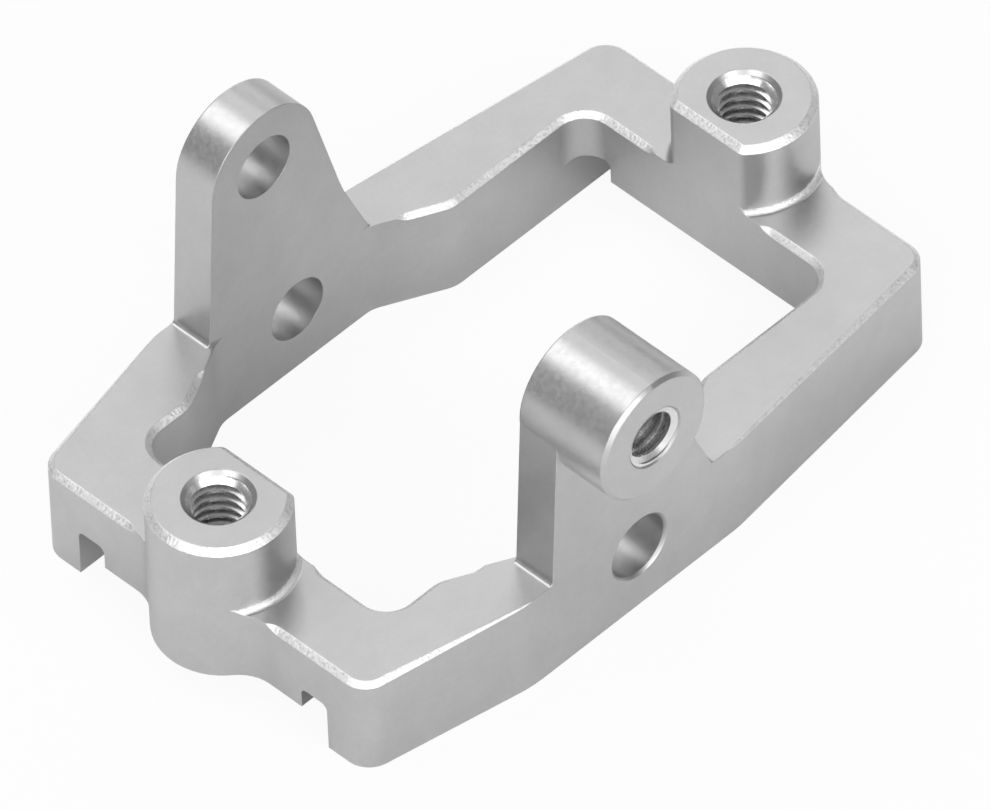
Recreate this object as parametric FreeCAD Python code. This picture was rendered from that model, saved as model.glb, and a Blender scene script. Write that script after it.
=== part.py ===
import FreeCAD, Part
import math
import os

from FreeCAD import Vector

# Servo bracket, milled from one block of aluminium. All sizes in mm.
# X runs along the servo body, Y across it, Z up. Heights below count from the feet.
# The origin lies midway between the two fixing screws, level with the bosses' top faces.

# Servo that the bracket holds
servo_length = 23.2        # body, along X
servo_width = 12.45        # body, along Y
servo_gap = 0.275          # clearance all round the body
screw_lead = 2.4           # fixing screws beyond the ends of the body

# Ring round the servo body
ring_height = 4.5
side_wall = 1.95           # long walls where they meet the ends
end_wall = 3.28            # short end bars
ring_corner_r = 1.1        # outer upright corners
pocket_corner_r = 1.2      # upright corners of the opening
edge_chamfer = 0.23        # top edges of the ring
flank_chamfer_end = 0.07   # the outer one narrows to this along each slanting side
chamfer_gap = 0.9          # the inner ones end this far from the ears and the bosses' flats
root_gap = 0.5             # and those across the ends this far from the bosses' roots
cutter_r = 0.6             # hollow ends of these, from the cutter that ran along them

# Wider middle of the ring, which carries the ears
ear_gap = 16.0             # clear width between the two ears
ear_thick = 1.9
hip_back_lead = 1.25       # outer face goes on this far behind the ear
hip_front_lead = 1.3       # and this far in front of it
step_back_lead = -0.4      # inner face turns this far behind the ear's foot
step_front_lead = -0.05    # and this far in front of it
step_run = 3.0             # length along X of each slanting inner wall
hip_bend_r = 6.0
step_bend_r = 1.4

# Relief below each end bar, and the slot at each of its ends
end_lift = 1.25            # underside of the end bar above the feet
slot_width = 1.35
slot_height = 2.25
slot_corner_r = 0.3

# Round screw bosses on the end bars
boss_r = 2.8
boss_top = 7.95            # above the feet
boss_chamfer = 0.27
boss_edge_more = 0.13      # upright edges beside the flat are rounder than the chamfer
boss_root_r = 1.7          # hollow where the boss leaves the end face
boss_foot_r = 0.25         # hollow where the boss stands on the ring

# Ears, seen from the side: a round head round the pivot, slanting edges below it
pivot_x = -3.35
pivot_z = 11.75
ear_head_r = 2.72
ear_back_angle = 3.9       # degrees from upright
ear_front_angle = 15.2
ear_flare_angle = 23.0     # lower part of the front edge
ear_flare_z = 7.5          # height where it begins
ear_flare_r = 9.0
ear_foot_r = 0.2           # hollow where the ear stands on the ring

# Holes across the ears
pin_hole_d = 2.75
low_hole_x = -2.0
low_hole_z = 3.0
hole_break = 0.12

# Threaded boss on the near ear
pivot_boss_r = 2.75
pivot_boss_reach = 2.4     # in front of the ear's outer face
pivot_boss_break = 0.15

# Holes for M2.5 screws, at the screw's outside diameter, and their countersunk mouths
thread_d = 2.5
thread_mouth_d = 2.85
pivot_mouth_d = 2.7

# Sizes that follow from these
pocket_x = servo_length / 2 + servo_gap
pocket_y = servo_width / 2 + servo_gap
end_x = pocket_x + end_wall
end_y = pocket_y + side_wall
boss_x = servo_length / 2 + screw_lead
boss_edge_r = boss_chamfer + boss_edge_more
ear_in = ear_gap / 2
ear_out = ear_in + ear_thick


def unit(vector):
    length = math.hypot(vector[0], vector[1])
    return (vector[0] / length, vector[1] / length)


def rounded_face(corners, place):
    """Face inside a closed outline of (u, v, radius) corners; place(u, v) gives its points in space.

    A radius that its two sides have no room for is made smaller.
    """
    count = len(corners)
    sides = []
    for i in range(count):
        here, following = corners[i], corners[(i + 1) % count]
        sides.append((following[0] - here[0], following[1] - here[1]))
    halves = []
    trims = []
    for i in range(count):
        a = unit((-sides[i - 1][0], -sides[i - 1][1]))
        b = unit(sides[i])
        halves.append(math.acos(max(-1.0, min(1.0, a[0] * b[0] + a[1] * b[1]))) / 2)
        trims.append(corners[i][2] / math.tan(halves[i]))
    room = [1.0] * count
    for i in range(count):
        following = (i + 1) % count
        wanted = trims[i] + trims[following]
        if wanted > 0:
            share = min(1.0, 0.96 * math.hypot(*sides[i]) / wanted)
            room[i] = min(room[i], share)
            room[following] = min(room[following], share)
    points = []
    for i in range(count):
        u, v, radius = corners[i]
        if radius <= 0:
            points.append(((u, v), None, (u, v)))
            continue
        a = unit((-sides[i - 1][0], -sides[i - 1][1]))
        b = unit(sides[i])
        trim = trims[i] * room[i]
        inward = unit((a[0] + b[0], a[1] + b[1]))
        depth = radius * room[i] * (1 / math.sin(halves[i]) - 1)
        start = (u + a[0] * trim, v + a[1] * trim)
        middle = (u + inward[0] * depth, v + inward[1] * depth)
        end = (u + b[0] * trim, v + b[1] * trim)
        points.append((start, middle, end))
    edges = []
    for i in range(count):
        start, middle, end = points[i]
        if middle:
            edges.append(Part.Arc(place(*start), place(*middle), place(*end)).toShape())
        following = points[(i + 1) % count][0]
        if math.hypot(following[0] - end[0], following[1] - end[1]) > 1e-6:
            edges.append(Part.LineSegment(place(*end), place(*following)).toShape())
    return Part.Face(Part.Wire(edges))


def plan(corners, z_low, z_high):
    """Prism with an outline in X and Y."""
    face = rounded_face(corners, lambda x, y: Vector(x, y, z_low))
    return face.extrude(Vector(0, 0, z_high - z_low))


def side_view(corners, y_from, y_to):
    """Prism with an outline in X and Z."""
    face = rounded_face(corners, lambda x, z: Vector(x, y_from, z))
    return face.extrude(Vector(0, y_to - y_from, 0))


def end_view(corners, x_from, x_to):
    """Prism with an outline in Y and Z."""
    face = rounded_face(corners, lambda y, z: Vector(x_from, y, z))
    return face.extrude(Vector(x_to - x_from, 0, 0))


def edges_at_height(shape, z):
    return [edge for edge in shape.Edges if all(abs(v.Z - z) < 1e-6 for v in edge.Vertexes)]


def mirrored_y(shape):
    return shape.mirror(Vector(0, 0, 0), Vector(0, 1, 0))


# Both ears have one side outline. Its slanting edges touch the round head.
back = math.radians(ear_back_angle)
front = math.radians(ear_front_angle)
flare = math.radians(ear_flare_angle)


def back_edge_x(z):
    touch_x = pivot_x - ear_head_r * math.cos(back)
    touch_z = pivot_z + ear_head_r * math.sin(back)
    return touch_x - (touch_z - z) * math.tan(back)


def front_edge_x(z):
    touch_x = pivot_x + ear_head_r * math.cos(front)
    touch_z = pivot_z + ear_head_r * math.sin(front)
    return touch_x + (touch_z - z) * math.tan(front)


# The flare begins between the ring and the head, whatever their heights.
flare_z = min(max(ear_flare_z, ring_height + 0.5), pivot_z - 0.5)
ear_back_x = back_edge_x(ring_height)
flare_x = front_edge_x(flare_z)
ear_front_x = flare_x + (flare_z - ring_height) * math.tan(flare)

# Where the two slanting edges would meet above the head
peak_rise = (front_edge_x(pivot_z) - back_edge_x(pivot_z)) / (math.tan(back) + math.tan(front))
peak_z = pivot_z + peak_rise
peak_x = back_edge_x(peak_z)

# Ring: outline with tapering flanks and a straight hip, less the stepped opening
hip_back_x = ear_back_x - hip_back_lead
hip_front_x = ear_front_x + hip_front_lead
outer_half = [
    (-end_x, end_y, ring_corner_r),
    (hip_back_x, ear_out, hip_bend_r),
    (hip_front_x, ear_out, hip_bend_r),
    (end_x, end_y, ring_corner_r),
]
step_back_x = ear_back_x - step_back_lead
step_front_x = ear_front_x + step_front_lead
inner_half = [
    (-pocket_x, pocket_y, pocket_corner_r),
    (step_back_x - step_run, pocket_y, step_bend_r),
    (step_back_x, ear_in, step_bend_r),
    (step_front_x, ear_in, step_bend_r),
    (step_front_x + step_run, pocket_y, step_bend_r),
    (pocket_x, pocket_y, pocket_corner_r),
]
outer_plan = outer_half + [(x, -y, r) for x, y, r in reversed(outer_half)]
inner_plan = inner_half + [(x, -y, r) for x, y, r in reversed(inner_half)]
sharp_ring = plan(outer_plan, 0, ring_height).cut(plan(inner_plan, 0, ring_height))
ring = sharp_ring.makeChamfer(edge_chamfer, edges_at_height(sharp_ring, ring_height))


def side_at(half, x):
    """Point at x on the straight sides of half an outline, and the direction square to the left of the side."""
    for (x0, y0, r0), (x1, y1, r1) in zip(half, half[1:]):
        if x <= x1:
            break
    along = unit((x1 - x0, y1 - y0))
    return (x, y0 + (x - x0) * (y1 - y0) / (x1 - x0)), (-along[1], along[0])


def chamfer_end(point, toward):
    """Cone that a chamfer ends in; toward points from the metal into the open."""
    over = edge_chamfer / 2
    place = Vector(point[0] + cutter_r * toward[0], point[1] + cutter_r * toward[1], ring_height - edge_chamfer - over)
    return Part.makeCone(cutter_r - over, cutter_r + 2 * edge_chamfer, edge_chamfer * 2.5, place, Vector(0, 0, 1))


def flank(side, hip_x):
    """Ends of the straight side between a far corner and the hip, and the direction square to it."""
    turn = math.atan2(ear_out - end_y, end_x - side * hip_x)
    trim = ring_corner_r / math.tan(math.pi / 4 + turn / 2)
    bend = hip_bend_r * math.tan(turn / 2)
    start = (side * (end_x - trim * math.cos(turn)), end_y + trim * math.sin(turn))
    stop = (hip_x + side * bend * math.cos(turn), ear_out - bend * math.sin(turn))
    return start, stop, (side * math.sin(turn), math.cos(turn))


def narrowing_wedge(start, stop, out):
    """Metal that a chamfer takes away as it narrows from start to stop and runs out beyond it."""
    length = math.hypot(stop[0] - start[0], stop[1] - start[1])
    lead = (edge_chamfer - flank_chamfer_end) / length
    path = Vector(
        (stop[0] - start[0]) / length + lead * out[0],
        (stop[1] - start[1]) / length + lead * out[1], 0)
    behind = Vector(start[0], start[1], ring_height) - path * 0.2
    section = []
    for beyond, rise in ((-edge_chamfer - 1, 1), (1, -edge_chamfer - 1), (1, 1)):
        section.append(behind + Vector(beyond * out[0], beyond * out[1], rise))
    return Part.Face(Part.makePolygon(section + [section[0]])).extrude(path * (length + 1.7))


# The chamfers stop short of the ears and the bosses, and the edges stay sharp there.
runout = math.sqrt((cutter_r + edge_chamfer) ** 2 - cutter_r ** 2)
flat_half = math.sqrt(max(boss_r ** 2 - (boss_x - pocket_x) ** 2, 0.01))
flat_stop = flat_half + chamfer_gap + runout
root_x = end_x + boss_root_r
root_y = math.sqrt((boss_r + boss_root_r) ** 2 - (root_x - boss_x) ** 2)
root_stop = root_y + root_gap
wall_middle = ear_in + ear_thick / 2
low = ring_height - edge_chamfer - 0.5
zones = []
ends = []
root_ends = []

# Inner edges before and behind the ears
into_metal = []
for stop in (ear_back_x - chamfer_gap - runout, ear_front_x + chamfer_gap + runout):
    point, square = side_at(inner_half, stop)
    into_metal.append([(point[0] + reach * square[0], point[1] + reach * square[1], 0) for reach in (-0.5, 1.0)])
    ends.append(chamfer_end(point, (-square[0], -square[1])))
behind, before = into_metal
middle = [(behind[1][0], wall_middle, 0), (before[1][0], wall_middle, 0)]
zones.append(plan(behind + middle + [before[1], before[0]], low, ring_height))

# Outer edges of the long sides, from corner to corner
back_start, back_stop, back_out = flank(-1, hip_back_x)
front_start, front_stop, front_out = flank(1, hip_front_x)
zones.append(plan([
    (back_start[0] - back_out[0] * side_wall / 2, back_start[1] - back_out[1] * side_wall / 2, 0),
    (back_start[0] + back_out[0] / 2, back_start[1] + back_out[1] / 2, 0),
    (hip_back_x, ear_out + 1, 0),
    (hip_front_x, ear_out + 1, 0),
    (front_start[0] + front_out[0] / 2, front_start[1] + front_out[1] / 2, 0),
    (front_start[0] - front_out[0] * side_wall / 2, front_start[1] - front_out[1] * side_wall / 2, 0),
    (hip_front_x, wall_middle, 0),
    (hip_back_x, wall_middle, 0)], low, ring_height))
wedges = [narrowing_wedge(back_start, back_stop, back_out), narrowing_wedge(front_start, front_stop, front_out)]

# Edges of the end bars beside the bosses' flats and roots
for side in (-1, 1):
    width = 1 + end_wall / 2
    corner = Vector(side * pocket_x - (1 if side > 0 else end_wall / 2), 0, low)
    zones.append(Part.makeBox(width, flat_stop, ring_height - low, corner))
    ends.append(chamfer_end((side * pocket_x, flat_stop), (-side, 0)))
    corner = Vector(side * end_x - (end_wall / 2 if side > 0 else 1), 0, low)
    zones.append(Part.makeBox(width, root_stop, ring_height - low, corner))
    root_ends.append(chamfer_end((side * end_x, root_stop), (side, 0)))

zones += [mirrored_y(zone) for zone in zones]
wedges += [mirrored_y(wedge) for wedge in wedges]
ends += [mirrored_y(end) for end in ends]
root_ends += [mirrored_y(end) for end in root_ends]
kept_sharp = sharp_ring.common(zones[0].fuse(zones[1:])).cut(wedges)
ring = ring.fuse(kept_sharp).cut(ends)

# Underside of each end bar, lifted between two rounded slots that run right through it
bar_half_y = pocket_y - slot_width
slot_inner_x = pocket_x - pocket_corner_r - slot_width
reach_x = max(end_x, boss_x + boss_r) + 1
underside = [
    (-bar_half_y - slot_corner_r, -1, 0),
    (-bar_half_y - slot_corner_r, end_lift, 0),
    (bar_half_y + slot_corner_r, end_lift, 0),
    (bar_half_y + slot_corner_r, -1, 0),
]
slot = [
    (bar_half_y, -1, 0),
    (bar_half_y, slot_height, slot_corner_r),
    (pocket_y, slot_height, slot_corner_r),
    (pocket_y, -1, 0),
]
lower_cuts = []
for x_from, x_to in ((-reach_x, -slot_inner_x), (slot_inner_x, reach_x)):
    far_slot = end_view(slot, x_from, x_to)
    lower_cuts += [end_view(underside, x_from, x_to), far_slot, mirrored_y(far_slot)]
ring = ring.cut(lower_cuts)


def screw_boss():
    """Boss on the right-hand end bar: D-shaped, its flat in line with the opening."""
    flat = boss_x - pocket_x
    pillar = Part.makeCylinder(boss_r, boss_top - end_lift, Vector(boss_x, 0, end_lift))
    if flat < boss_r:
        room = 2 * boss_r + 1
        beyond = Part.makeBox(room, 2 * room, boss_top + 2, Vector(pocket_x - room, -room, -1))
        pillar = pillar.cut(beyond)
        upright = []
        for edge in pillar.Edges:
            ends = [v.Point for v in edge.Vertexes]
            if len(ends) == 2 and abs(abs(ends[0].y) - flat_half) < 1e-4 and abs(ends[0].z - ends[1].z) > 0.1:
                if abs(ends[0].x - pocket_x) < 1e-4 and abs(ends[1].x - pocket_x) < 1e-4:
                    upright.append(edge)
        pillar = pillar.makeFillet(boss_edge_r, upright)
    pillar = pillar.makeChamfer(boss_chamfer, edges_at_height(pillar, boss_top))

    # Hollow roots beside the boss, from its underside to the top of the ring
    share = boss_r / (boss_r + boss_root_r)
    touch = (boss_x + share * (root_x - boss_x), share * root_y)
    toward = unit((touch[0] + end_x - 2 * root_x, touch[1] - root_y))
    middle = (root_x + boss_root_r * toward[0], root_y + boss_root_r * toward[1])
    corner = Vector(end_x, root_y, end_lift)
    meets = Vector(touch[0], touch[1], end_lift)
    inside = Vector(boss_x, touch[1] * 0.8, end_lift)
    wall = Vector(boss_x, root_y, end_lift)
    hollow = Part.Arc(corner, Vector(middle[0], middle[1], end_lift), meets).toShape()
    rest = [Part.LineSegment(a, b).toShape() for a, b in ((meets, inside), (inside, wall), (wall, corner))]
    root = Part.Face(Part.Wire([hollow] + rest)).extrude(Vector(0, 0, ring_height - end_lift))

    # Hollow foot where the boss stands on the ring, kept to the top of the end bar
    low = ring_height - edge_chamfer

    def foot_round(x, y, r):
        inner = r * 0.8
        bulge = boss_foot_r * (1 - math.sqrt(0.5))
        points = [
            Vector(x + inner, y, low),
            Vector(x + r + boss_foot_r, y, low),
            Vector(x + r + boss_foot_r, y, ring_height),
            Vector(x + r + bulge, y, ring_height + bulge),
            Vector(x + r, y, ring_height + boss_foot_r),
            Vector(x + inner, y, ring_height + boss_foot_r),
        ]
        curve = Part.Arc(points[2], points[3], points[4]).toShape()
        straight = [Part.LineSegment(points[a], points[b]).toShape() for a, b in ((0, 1), (1, 2))]
        closing = [Part.LineSegment(points[a], points[b]).toShape() for a, b in ((4, 5), (5, 0))]
        section = Part.Face(Part.Wire(straight + [curve] + closing))
        return section.revolve(Vector(x, y, 0), Vector(0, 0, 1), 360)

    foot = foot_round(boss_x, 0, boss_r)
    if flat < boss_r:
        # It turns with the rounded edges beside the flat.
        edge_x = flat - boss_edge_r
        edge_y = math.sqrt((boss_r - boss_edge_r) ** 2 - edge_x ** 2)
        fan = plan([(boss_x, 0, 0), (boss_x - 4 * edge_x, 4 * edge_y, 0), (boss_x - 4 * edge_x, -4 * edge_y, 0)], 0, boss_top)
        turns = foot_round(boss_x - edge_x, edge_y, boss_edge_r)
        foot = foot.cut(fan).fuse([turns.common(fan), mirrored_y(turns.common(fan))])
    bar_top = Part.makeBox(end_wall, 2 * root_y, 2, Vector(pocket_x, -root_y, low))
    root_top = root.copy()
    root_top.translate(Vector(0, 0, low - end_lift))
    near_root_top = mirrored_y(root_top)
    foot = foot.common(bar_top.fuse([root_top, near_root_top]))
    return pillar.fuse([root, mirrored_y(root), foot])


right_boss = screw_boss()
left_boss = right_boss.mirror(Vector(0, 0, 0), Vector(1, 0, 0))

# Ears: the side outline starts inside the ring wall and rises flush with both its faces
foot_z = ring_height / 2
ear_outline = [
    (ear_back_x - ear_foot_r, foot_z, 0),
    (ear_back_x - ear_foot_r, ring_height, 0),
    (ear_back_x, ring_height, ear_foot_r),
    (peak_x, peak_z, ear_head_r),
    (flare_x, flare_z, ear_flare_r),
    (ear_front_x, ring_height, ear_foot_r),
    (ear_front_x + ear_foot_r, ring_height, 0),
    (ear_front_x + ear_foot_r, foot_z, 0),
]
far_ear = side_view(ear_outline, ear_in, ear_out)
near_ear = mirrored_y(far_ear)

# Threaded boss round the near ear's pivot
boss_face_y = -(ear_out + pivot_boss_reach)
pivot_boss = Part.makeCylinder(
    pivot_boss_r, pivot_boss_reach + ear_thick, Vector(pivot_x, boss_face_y, pivot_z), Vector(0, 1, 0))
face_edges = [edge for edge in pivot_boss.Edges if all(abs(v.Y - boss_face_y) < 1e-6 for v in edge.Vertexes)]
face_edges = [edge for edge in face_edges if edge.BoundBox.YLength < 1e-6]
pivot_boss = pivot_boss.makeChamfer(pivot_boss_break, face_edges)

body = ring.fuse([right_boss, left_boss, far_ear, near_ear, pivot_boss]).cut(root_ends)


def countersink(point, direction, drill_d, mouth_d):
    """45 degree cone that opens a hole at a face; direction points into the metal."""
    depth = (mouth_d - drill_d) / 2
    over = 0.2
    start = point - direction * over
    return Part.makeCone(mouth_d / 2 + over, drill_d / 2, depth + over, start, direction)


holes = []

# Threaded holes down through both screw bosses
for x in (-boss_x, boss_x):
    holes.append(Part.makeCylinder(thread_d / 2, boss_top + 2, Vector(x, 0, -1)))
    holes.append(countersink(Vector(x, 0, boss_top), Vector(0, 0, -1), thread_d, thread_mouth_d))

# Threaded pivot hole in the near ear, plain pivot hole in the far ear
inward_y = Vector(0, 1, 0)
near_length = ear_thick + pivot_boss_reach + 2
near_start = Vector(pivot_x, boss_face_y - 1, pivot_z)
holes.append(Part.makeCylinder(thread_d / 2, near_length, near_start, inward_y))
holes.append(countersink(Vector(pivot_x, boss_face_y, pivot_z), inward_y, thread_d, pivot_mouth_d))
holes.append(Part.makeCylinder(pin_hole_d / 2, ear_thick + 2, Vector(pivot_x, ear_in - 1, pivot_z), inward_y))

# Plain low holes through both sides of the ring, eased at the near outer face
for y in (-ear_out - 1, ear_in - 1):
    holes.append(Part.makeCylinder(pin_hole_d / 2, ear_thick + 2, Vector(low_hole_x, y, low_hole_z), inward_y))
low_mouth_d = pin_hole_d + 2 * hole_break
holes.append(countersink(Vector(low_hole_x, -ear_out, low_hole_z), inward_y, pin_hole_d, low_mouth_d))

body = body.cut(holes).removeSplitter()
bracket = body.Solids[0] if len(body.Solids) == 1 else body

# The servo's lugs seat on the bosses, so that plane becomes Z = 0.
bracket.translate(Vector(0, 0, -boss_top))

os.makedirs("parts", exist_ok=True)
bracket.exportStep("parts/servo_bracket.step")

box = bracket.BoundBox
print("solids", len(body.Solids), "valid", bracket.isValid(), "volume mm3", round(bracket.Volume, 2))
print("box", [round(v, 2) for v in (box.XMin, box.XMax, box.YMin, box.YMax, box.ZMin, box.ZMax)])
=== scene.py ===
import math

import bpy
from mathutils import Matrix, Vector


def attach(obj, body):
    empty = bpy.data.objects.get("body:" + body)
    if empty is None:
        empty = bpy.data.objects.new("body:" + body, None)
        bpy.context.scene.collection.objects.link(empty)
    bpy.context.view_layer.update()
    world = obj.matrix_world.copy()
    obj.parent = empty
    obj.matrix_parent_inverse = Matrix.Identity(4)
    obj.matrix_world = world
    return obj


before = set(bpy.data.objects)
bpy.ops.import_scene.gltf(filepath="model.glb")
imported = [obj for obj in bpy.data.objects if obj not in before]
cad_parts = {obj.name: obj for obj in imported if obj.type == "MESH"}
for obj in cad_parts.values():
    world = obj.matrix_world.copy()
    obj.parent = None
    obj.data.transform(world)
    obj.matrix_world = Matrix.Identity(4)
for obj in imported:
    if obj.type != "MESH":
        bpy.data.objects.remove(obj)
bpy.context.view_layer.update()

scene = bpy.context.scene
mm = 0.001


# ---------------------------------------------------------------------------
# Camera: a long lens about a metre away, looking down on the bracket's left
# front corner, with the threaded ear nearest. The picture is 990 pixels wide.
# ---------------------------------------------------------------------------
azimuth = math.radians(-43.872)
elevation = math.radians(46.801)
roll = math.radians(-2.421)
camera_distance = 978.9 * mm
picture_width = 990
pixels_per_mm = 26.705
shift_right = 0.191 * mm
shift_up = 1.365 * mm
shift_front = 0.025 * mm
feet_z = -7.95 * mm

level = Vector((math.cos(azimuth), math.sin(azimuth), 0))
away = Vector((
    math.sin(azimuth) * math.cos(elevation),
    -math.cos(azimuth) * math.cos(elevation),
    math.sin(elevation)))
upright = away.cross(level)
picture_right = level * math.cos(roll) + upright * math.sin(roll)
picture_up = upright * math.cos(roll) - level * math.sin(roll)
camera_place = away * camera_distance + picture_right * shift_right + picture_up * shift_up
camera_place += Vector((0, -shift_front, feet_z))

camera_data = bpy.data.cameras.new("camera")
camera_data.sensor_width = 36
camera_data.lens = pixels_per_mm * camera_distance / mm / picture_width * camera_data.sensor_width
camera_data.clip_start = 0.05
camera_data.clip_end = 20
camera = bpy.data.objects.new("camera", camera_data)
camera.matrix_world = Matrix((
    (picture_right.x, picture_up.x, away.x, camera_place.x),
    (picture_right.y, picture_up.y, away.y, camera_place.y),
    (picture_right.z, picture_up.z, away.z, camera_place.z),
    (0, 0, 0, 1)))
scene.collection.objects.link(camera)
scene.camera = camera


# ---------------------------------------------------------------------------
# Bracket: one block of aluminium, milled all over and fine blasted, which
# leaves a soft satin skin and eased edges. The chamfers round the top faces are
# cut after the blast; they and the arc at each boss's near foot are painted
# near white with strong speckle: a painted highlight with painted glints.
# ---------------------------------------------------------------------------
eased_edge = 0.055 * mm
eased_chamfer = 0.10 * mm
frame_chamfer_z = -3.565 * mm
frame_chamfer_reach = 0.12 * mm
boss_chamfer_z = -0.135 * mm
boss_foot_z = -3.31 * mm
boss_cut_reach = 0.14 * mm
boss_foot_r = 3.4 * mm
boss_centre_x = 14 * mm
screw_mouth_r = 1.6 * mm
pivot_x = -3.35 * mm
pivot_z = 3.8 * mm
low_hole_x = -2 * mm
low_hole_z = -4.95 * mm
low_hole_reach = 1.45 * mm
pivot_hole_reach = 1.9 * mm


def blasted_skin_group():
    """Blasted skin: soft cloudy tone, painted glints as fine speckle in the colour, a little uneven
    gloss and fine dimples.
    """
    group = bpy.data.node_groups.new("blasted_skin", "ShaderNodeTree")
    sockets = group.interface
    sockets.new_socket("Tone", in_out="INPUT", socket_type="NodeSocketColor")
    for name in ("Tone Swing", "Sparkle", "Smoothness", "Grain Size"):
        sockets.new_socket(name, in_out="INPUT", socket_type="NodeSocketFloat")
    sockets.new_socket("Color", in_out="OUTPUT", socket_type="NodeSocketColor")
    sockets.new_socket("Roughness", in_out="OUTPUT", socket_type="NodeSocketFloat")
    sockets.new_socket("Height", in_out="OUTPUT", socket_type="NodeSocketFloat")
    nodes, links = group.nodes, group.links
    start = nodes.new("NodeGroupInput")
    end = nodes.new("NodeGroupOutput")
    place = nodes.new("ShaderNodeTexCoord")

    cloud = nodes.new("ShaderNodeTexNoise")
    cloud.inputs["Scale"].default_value = 700
    cloud.inputs["Detail"].default_value = 4
    cloud.inputs["Roughness"].default_value = 0.6
    links.new(place.outputs["Object"], cloud.inputs["Vector"])
    grain = nodes.new("ShaderNodeTexNoise")
    grain.inputs["Detail"].default_value = 2
    links.new(place.outputs["Object"], grain.inputs["Vector"])
    links.new(start.outputs["Grain Size"], grain.inputs["Scale"])

    low = nodes.new("ShaderNodeMath")
    low.operation = "SUBTRACT"
    low.inputs[0].default_value = 1.0
    links.new(start.outputs["Tone Swing"], low.inputs[1])
    high = nodes.new("ShaderNodeMath")
    high.operation = "ADD"
    high.inputs[0].default_value = 1.0
    links.new(start.outputs["Tone Swing"], high.inputs[1])
    swing = nodes.new("ShaderNodeMapRange")
    swing.inputs["From Min"].default_value = 0.3
    swing.inputs["From Max"].default_value = 0.7
    links.new(cloud.outputs["Fac"], swing.inputs["Value"])
    links.new(low.outputs[0], swing.inputs["To Min"])
    links.new(high.outputs[0], swing.inputs["To Max"])
    tone = nodes.new("ShaderNodeVectorMath")
    tone.operation = "SCALE"
    links.new(start.outputs["Tone"], tone.inputs[0])
    links.new(swing.outputs["Result"], tone.inputs["Scale"])
    # Fine random speckle multiplied into the colour, as strong as Sparkle: painted glints.
    glint = nodes.new("ShaderNodeMath")
    glint.operation = "SUBTRACT"
    glint.inputs[1].default_value = 0.5
    links.new(grain.outputs["Fac"], glint.inputs[0])
    glitter = nodes.new("ShaderNodeMath")
    glitter.operation = "MULTIPLY_ADD"
    glitter.inputs[2].default_value = 1.0
    links.new(glint.outputs[0], glitter.inputs[0])
    links.new(start.outputs["Sparkle"], glitter.inputs[1])
    sparkling = nodes.new("ShaderNodeVectorMath")
    sparkling.operation = "SCALE"
    links.new(tone.outputs["Vector"], sparkling.inputs[0])
    links.new(glitter.outputs[0], sparkling.inputs["Scale"])
    links.new(sparkling.outputs["Vector"], end.inputs["Color"])

    uneven = nodes.new("ShaderNodeMapRange")
    uneven.inputs["From Min"].default_value = 0.3
    uneven.inputs["From Max"].default_value = 0.7
    uneven.inputs["To Min"].default_value = 0.9
    uneven.inputs["To Max"].default_value = 1.1
    links.new(grain.outputs["Fac"], uneven.inputs["Value"])
    rough = nodes.new("ShaderNodeMath")
    rough.operation = "MULTIPLY"
    links.new(start.outputs["Smoothness"], rough.inputs[0])
    links.new(uneven.outputs["Result"], rough.inputs[1])
    links.new(rough.outputs[0], end.inputs["Roughness"])
    links.new(grain.outputs["Fac"], end.inputs["Height"])
    return group


def mask_steps(group):
    """Start of a mask group: place and facing on the bracket, and two steps that work on them."""
    group.interface.new_socket("Mask", in_out="OUTPUT", socket_type="NodeSocketFloat")
    nodes, links = group.nodes, group.links
    place = nodes.new("ShaderNodeSeparateXYZ")
    links.new(nodes.new("ShaderNodeTexCoord").outputs["Object"], place.inputs[0])
    facing = nodes.new("ShaderNodeSeparateXYZ")
    links.new(nodes.new("ShaderNodeNewGeometry").outputs["True Normal"], facing.inputs[0])

    def combine(operation, *values):
        step = nodes.new("ShaderNodeMath")
        step.operation = operation
        for socket, value in zip(step.inputs, values):
            if isinstance(value, float):
                socket.default_value = value
            else:
                links.new(value, socket)
        return step.outputs[0]

    def squared_distance(one, one_middle, two, two_middle):
        return combine(
            "ADD", combine("POWER", combine("SUBTRACT", one, one_middle), 2.0),
            combine("POWER", combine("SUBTRACT", two, two_middle), 2.0))

    return place.outputs, facing.outputs, combine, squared_distance


def chamfer_highlight_group():
    """Mask of the chamfers round the top faces, and of the arc at each boss's near foot, where the
    painted highlight goes.
    """
    group = bpy.data.node_groups.new("chamfer_highlight_mask", "ShaderNodeTree")
    place, facing, combine, squared_distance = mask_steps(group)
    leaning = combine("COMPARE", facing["Z"], 0.70, 0.13)
    at_frame = combine("COMPARE", place["Z"], frame_chamfer_z, frame_chamfer_reach)
    at_boss = combine("COMPARE", place["Z"], boss_chamfer_z, boss_cut_reach)
    beside_boss = squared_distance(combine("ABSOLUTE", place["X"]), boss_centre_x, place["Y"], 0.0)
    at_boss = combine("MULTIPLY", at_boss, combine("GREATER_THAN", beside_boss, screw_mouth_r ** 2))
    chamfer = combine("MULTIPLY", leaning, combine("MAXIMUM", at_frame, at_boss))
    at_foot = combine("COMPARE", place["Z"], boss_foot_z, boss_cut_reach)
    at_foot = combine("MULTIPLY", at_foot, combine("LESS_THAN", beside_boss, boss_foot_r ** 2))
    # Only the near side's foot arcs get the painted highlight.
    near_side = combine("LESS_THAN", place["Y"], 0.0)
    curving = combine("COMPARE", facing["Z"], 0.5, 0.42)
    foot_arc = combine("MULTIPLY", at_foot, combine("MULTIPLY", near_side, curving))
    mask = combine("MAXIMUM", chamfer, foot_arc)
    group.links.new(mask, group.nodes.new("NodeGroupOutput").inputs["Mask"])
    return group


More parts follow.
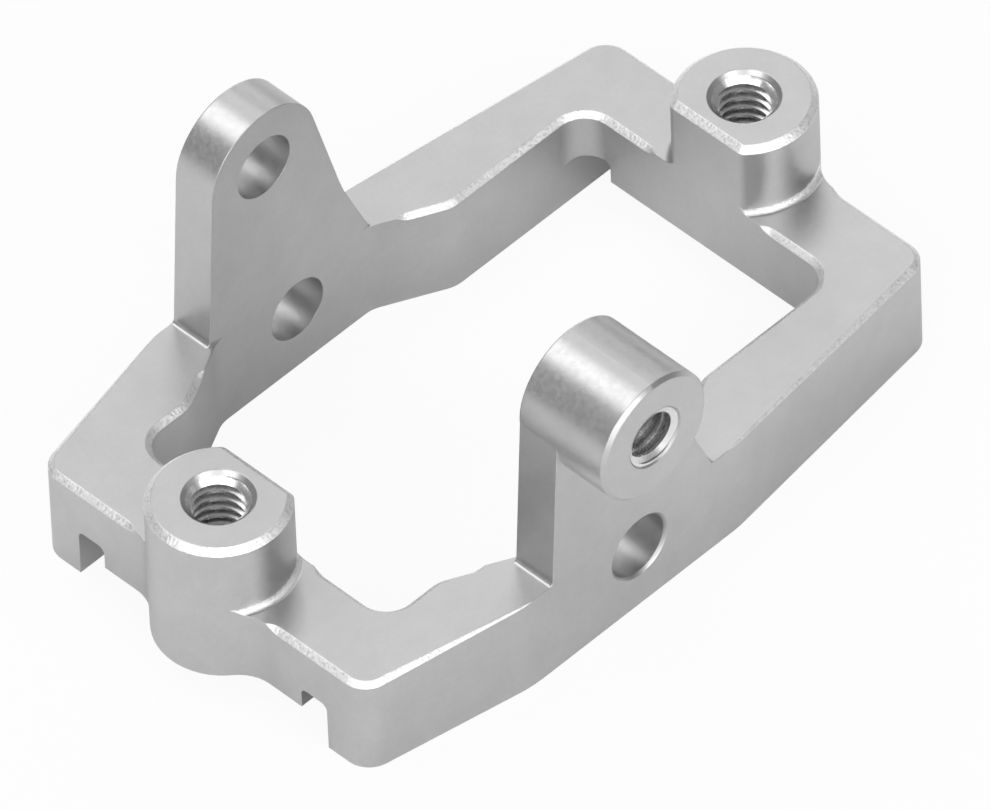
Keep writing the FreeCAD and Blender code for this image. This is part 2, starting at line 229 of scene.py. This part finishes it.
def shaded_drilled_hole_group():
    """Mask of the walls of the holes across the bracket, and of the pivot thread's mouth, which are
    painted darker: painted shade.
    """
    group = bpy.data.node_groups.new("shaded_drilled_hole_mask", "ShaderNodeTree")
    place, facing, combine, squared_distance = mask_steps(group)
    from_pivot = squared_distance(place["X"], pivot_x, place["Z"], pivot_z)
    from_low_hole = squared_distance(place["X"], low_hole_x, place["Z"], low_hole_z)
    in_pivot_hole = combine("LESS_THAN", from_pivot, pivot_hole_reach ** 2)
    in_low_hole = combine("LESS_THAN", from_low_hole, low_hole_reach ** 2)
    wall = combine("COMPARE", facing["Y"], 0.0, 0.85)
    mask = combine("MULTIPLY", wall, combine("MAXIMUM", in_pivot_hole, in_low_hole))
    group.links.new(mask, group.nodes.new("NodeGroupOutput").inputs["Mask"])
    return group


def skin(material, tone, tone_swing, sparkle, smoothness, grain_size):
    """Places the blasted skin in a material, at this finish's own values."""
    node = material.node_tree.nodes.new("ShaderNodeGroup")
    node.node_tree = blasted_skin
    node.inputs["Tone"].default_value = tone + (1,)
    node.inputs["Tone Swing"].default_value = tone_swing
    node.inputs["Sparkle"].default_value = sparkle
    node.inputs["Smoothness"].default_value = smoothness
    node.inputs["Grain Size"].default_value = grain_size
    return node


blasted_skin = blasted_skin_group()
chamfer_highlight = chamfer_highlight_group()
shaded_drilled_hole = shaded_drilled_hole_group()
blasted_aluminium = bpy.data.materials.new("blasted_aluminium")
blasted_aluminium.use_nodes = True
nodes, links = blasted_aluminium.node_tree.nodes, blasted_aluminium.node_tree.links
shader = nodes["Principled BSDF"]
shader.inputs["Metallic"].default_value = 1.0
satin = skin(blasted_aluminium, (0.595, 0.595, 0.60), 0.03, 0.12, 0.36, 5200)
# Darker colour on the hole walls: painted shade in the holes.
shaded_drilled = skin(blasted_aluminium, (0.49, 0.49, 0.49), 0.05, 0.3, 0.43, 2600)
# Near white with strong speckle on the chamfers and near foot arcs: painted highlight and painted
# glints.
painted_highlight_skin = skin(blasted_aluminium, (0.99, 0.99, 0.99), 0.03, 0.9, 0.5, 9000)
masks = []
for mask_group in (shaded_drilled_hole, chamfer_highlight):
    mask = nodes.new("ShaderNodeGroup")
    mask.node_tree = mask_group
    masks.append(mask.outputs["Mask"])
finish = {}
for name, socket_type in (("Color", "RGBA"), ("Roughness", "FLOAT"), ("Height", "FLOAT")):
    value = satin.outputs[name]
    for mask, other in zip(masks, (shaded_drilled, painted_highlight_skin)):
        blend = nodes.new("ShaderNodeMix")
        blend.data_type = socket_type
        sockets = [socket for socket in blend.inputs if socket.enabled]
        links.new(mask, sockets[0])
        links.new(value, sockets[1])
        links.new(other.outputs[name], sockets[2])
        value = [socket for socket in blend.outputs if socket.enabled][0]
    finish[name] = value
links.new(finish["Color"], shader.inputs["Base Color"])
links.new(finish["Roughness"], shader.inputs["Roughness"])
dimple_depth = nodes.new("ShaderNodeMapRange")
dimple_depth.inputs["To Min"].default_value = 0.1
dimple_depth.inputs["To Max"].default_value = 0.8
links.new(masks[1], dimple_depth.inputs["Value"])
easing = nodes.new("ShaderNodeMapRange")
easing.inputs["To Min"].default_value = eased_edge
easing.inputs["To Max"].default_value = eased_chamfer
links.new(masks[1], easing.inputs["Value"])
edges = nodes.new("ShaderNodeBevel")
edges.samples = 8
links.new(easing.outputs["Result"], edges.inputs["Radius"])
dimples = nodes.new("ShaderNodeBump")
dimples.inputs["Distance"].default_value = 0.03 * mm
links.new(dimple_depth.outputs["Result"], dimples.inputs["Strength"])
links.new(finish["Height"], dimples.inputs["Height"])
links.new(edges.outputs["Normal"], dimples.inputs["Normal"])
links.new(dimples.outputs["Normal"], shader.inputs["Normal"])

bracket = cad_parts["servo_bracket"]
for slot in bracket.material_slots:
    slot.material = blasted_aluminium


# ---------------------------------------------------------------------------
# Screw threads: the ridges that a tap leaves in the three screw holes, M2.5
# with a 0.45 mm pitch. They are cut in the same metal and are smoother; their
# lighter colour is a painted highlight.
# ---------------------------------------------------------------------------
pitch = 0.45 * mm
root_r = 1.27 * mm
crest_r = 1.02 * mm
root_width = 0.40 * mm
crest_width = 0.12 * mm
steps_per_turn = 48
weld_gap = 0.001 * mm
boss_ridge_depth = 6.7 * mm
boss_mouth_r = 1.425 * mm
boss_mouth_slope = 1.0
pivot_ridge_depth = 4.3 * mm
pivot_mouth_r = 1.43 * mm
pivot_mouth_slope = 0.4
pivot_face_y = -12.3 * mm
tapped_highlight_aluminium = bpy.data.materials.new("tapped_highlight_aluminium")
tapped_highlight_aluminium.use_nodes = True
nodes, links = tapped_highlight_aluminium.node_tree.nodes, tapped_highlight_aluminium.node_tree.links
shader = nodes["Principled BSDF"]
shader.inputs["Metallic"].default_value = 1.0
# Light colour on the thread ridges: painted highlight.
tapped_highlight = skin(tapped_highlight_aluminium, (0.85, 0.85, 0.85), 0.05, 0.2, 0.26, 4200)
links.new(tapped_highlight.outputs["Color"], shader.inputs["Base Color"])
links.new(tapped_highlight.outputs["Roughness"], shader.inputs["Roughness"])
chatter = nodes.new("ShaderNodeBump")
chatter.inputs["Distance"].default_value = 0.002 * mm
links.new(tapped_highlight.outputs["Height"], chatter.inputs["Height"])
links.new(chatter.outputs["Normal"], shader.inputs["Normal"])


def thread_ridge(name, depth, mouth_r, mouth_slope):
    """Ridge of a hole whose mouth is at the origin.

    It runs down along -Z; a cone trims its start and a block its end.
    """
    middle_r = (root_r + crest_r) / 2
    bpy.ops.object.select_all(action="DESELECT")
    bpy.ops.mesh.primitive_plane_add(
        size=1, location=(middle_r, 0, -depth - pitch), rotation=(math.pi / 2, 0, 0))
    ridge = bpy.context.active_object
    ridge.name = name
    ridge.scale = (root_r - crest_r, root_width, 1)
    bpy.ops.object.transform_apply(location=True, rotation=True, scale=True)
    for vertex in ridge.data.vertices:
        vertex.select = vertex.co.x < middle_r
    for edge in ridge.data.edges:
        edge.select = all(ridge.data.vertices[i].select for i in edge.vertices)
    for face in ridge.data.polygons:
        face.select = False
    bpy.ops.object.mode_set(mode="EDIT")
    bpy.ops.transform.resize(value=(1, 1, crest_width / root_width))
    bpy.ops.mesh.select_all(action="SELECT")
    bpy.ops.mesh.delete(type="ONLY_FACE")
    bpy.ops.object.mode_set(mode="OBJECT")

    sweep = ridge.modifiers.new("helix", "SCREW")
    sweep.axis = "Z"
    sweep.angle = 2 * math.pi
    sweep.screw_offset = pitch
    sweep.iterations = int(depth / pitch) + 2
    sweep.steps = sweep.render_steps = steps_per_turn
    sweep.use_merge_vertices = False
    bpy.ops.object.modifier_apply(modifier=sweep.name)
    bpy.ops.object.mode_set(mode="EDIT")
    bpy.ops.mesh.select_all(action="SELECT")
    bpy.ops.mesh.fill_holes(sides=4)
    bpy.ops.mesh.select_all(action="SELECT")
    bpy.ops.mesh.normals_make_consistent(inside=False)
    bpy.ops.object.mode_set(mode="OBJECT")

    bpy.ops.object.select_all(action="DESELECT")
    tip_r = 0.8 * mm
    cone_depth = (mouth_r - tip_r) * mouth_slope
    over = 1.2 * mm
    bpy.ops.mesh.primitive_cone_add(
        vertices=steps_per_turn, radius1=tip_r, radius2=mouth_r + over / mouth_slope,
        depth=cone_depth + over, location=(0, 0, (over - cone_depth) / 2))
    mouth = bpy.context.active_object
    block = 4 * mm
    lower_end = 0.01 * mm - depth
    bpy.ops.mesh.primitive_cube_add(size=block, location=(0, 0, lower_end - block / 2))
    below = bpy.context.active_object
    bpy.ops.object.select_all(action="DESELECT")
    ridge.select_set(True)
    bpy.context.view_layer.objects.active = ridge
    for cutter in (mouth, below):
        trim = ridge.modifiers.new("trim", "BOOLEAN")
        trim.operation = "DIFFERENCE"
        trim.solver = "EXACT"
        trim.object = cutter
        bpy.ops.object.modifier_apply(modifier=trim.name)
        bpy.data.objects.remove(cutter)
    bpy.ops.object.mode_set(mode="EDIT")
    bpy.ops.mesh.select_all(action="SELECT")
    bpy.ops.mesh.remove_doubles(threshold=weld_gap)
    bpy.ops.mesh.dissolve_degenerate(threshold=weld_gap)
    bpy.ops.object.mode_set(mode="OBJECT")
    ridge.data.materials.clear()
    ridge.data.materials.append(tapped_highlight_aluminium)
    bpy.ops.object.shade_smooth_by_angle(angle=math.radians(30))
    return ridge


def seat_ridge(ridge, place, turned):
    """Puts a ridge in its hole and fixes its place in its mesh."""
    ridge.location = place
    ridge.rotation_euler = turned
    bpy.ops.object.select_all(action="DESELECT")
    ridge.select_set(True)
    bpy.context.view_layer.objects.active = ridge
    bpy.ops.object.transform_apply(location=True, rotation=True, scale=False)
    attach(ridge, "root")


for name, side in (("thread_left_boss", -1), ("thread_right_boss", 1)):
    ridge = thread_ridge(name, boss_ridge_depth, boss_mouth_r, boss_mouth_slope)
    seat_ridge(ridge, (side * boss_centre_x, 0, 0), (0, 0, 0))
ridge = thread_ridge("thread_pivot_boss", pivot_ridge_depth, pivot_mouth_r, pivot_mouth_slope)
seat_ridge(ridge, (pivot_x, pivot_face_y, pivot_z), (math.pi / 2, 0, 0))


# ---------------------------------------------------------------------------
# Floor: a plain, nearly white sheet under the feet.
# ---------------------------------------------------------------------------
bpy.ops.object.select_all(action="DESELECT")
bpy.ops.mesh.primitive_plane_add(size=4, location=(0, 0, feet_z))
floor = bpy.context.active_object
floor.name = "floor"
floor_paint = bpy.data.materials.new("floor_paint")
floor_paint.use_nodes = True
floor_shader = floor_paint.node_tree.nodes["Principled BSDF"]
floor_shader.inputs["Base Color"].default_value = (0.9, 0.9, 0.9, 1)
floor_shader.inputs["Roughness"].default_value = 0.9
floor_glow = floor_paint.node_tree.nodes.new("ShaderNodeEmission")
floor_glow.inputs["Color"].default_value = (1, 1, 1, 1)
floor_glow.inputs["Strength"].default_value = 1.0
floor_seen = floor_paint.node_tree.nodes.new("ShaderNodeLightPath")
floor_share = floor_paint.node_tree.nodes.new("ShaderNodeMath")
floor_share.operation = "MULTIPLY"
floor_share.inputs[1].default_value = 0.92
floor_mix = floor_paint.node_tree.nodes.new("ShaderNodeMixShader")
floor_links = floor_paint.node_tree.links
floor_links.new(floor_seen.outputs["Is Camera Ray"], floor_share.inputs[0])
floor_links.new(floor_share.outputs[0], floor_mix.inputs[0])
floor_links.new(floor_shader.outputs[0], floor_mix.inputs[1])
floor_links.new(floor_glow.outputs[0], floor_mix.inputs[2])
floor_end = floor_paint.node_tree.nodes["Material Output"]
floor_links.new(floor_mix.outputs[0], floor_end.inputs["Surface"])
floor.data.materials.append(floor_paint)
bpy.ops.object.transform_apply(location=True, rotation=False, scale=False)


# ---------------------------------------------------------------------------
# Light: a dim white studio room and six soft boxes, hung 1.8 m from the
# bracket. The low front one brightens the edges that face the camera.
# ---------------------------------------------------------------------------
scene.view_settings.view_transform = "Standard"
room = bpy.data.worlds.new("room")
scene.world = room
room.use_nodes = True
room.node_tree.nodes["Background"].inputs["Color"].default_value = (1, 1, 1, 1)
room.node_tree.nodes["Background"].inputs["Strength"].default_value = 0.26
box_distance = 1.8


def soft_box(name, turn, height, side, radiance):
    """Square area light that faces the bracket.

    Turn counts from +X and height from level, in degrees.
    """
    data = bpy.data.lights.new(name, "AREA")
    data.shape = "SQUARE"
    data.size = side
    data.energy = radiance * math.pi * side ** 2
    lamp = bpy.data.objects.new(name, data)
    turn, height = math.radians(turn), math.radians(height)
    toward = Vector((
        math.cos(turn) * math.cos(height), math.sin(turn) * math.cos(height), math.sin(height)))
    lamp.location = toward * box_distance
    lamp.rotation_euler = toward.to_track_quat("Z", "Y").to_euler()
    scene.collection.objects.link(lamp)


soft_box("left_box", -174, 35, 1.05, 2.5)
soft_box("right_box", -90, 35, 1.05, 1.4)
soft_box("far_top_box", 31, 56, 1.05, 1.1)
soft_box("left_top_box", 108, 62, 1.05, 2.0)
soft_box("low_front_box", -118, 15, 2.3, 1.5)
soft_box("low_far_box", 50, 9, 1.05, 1.75)
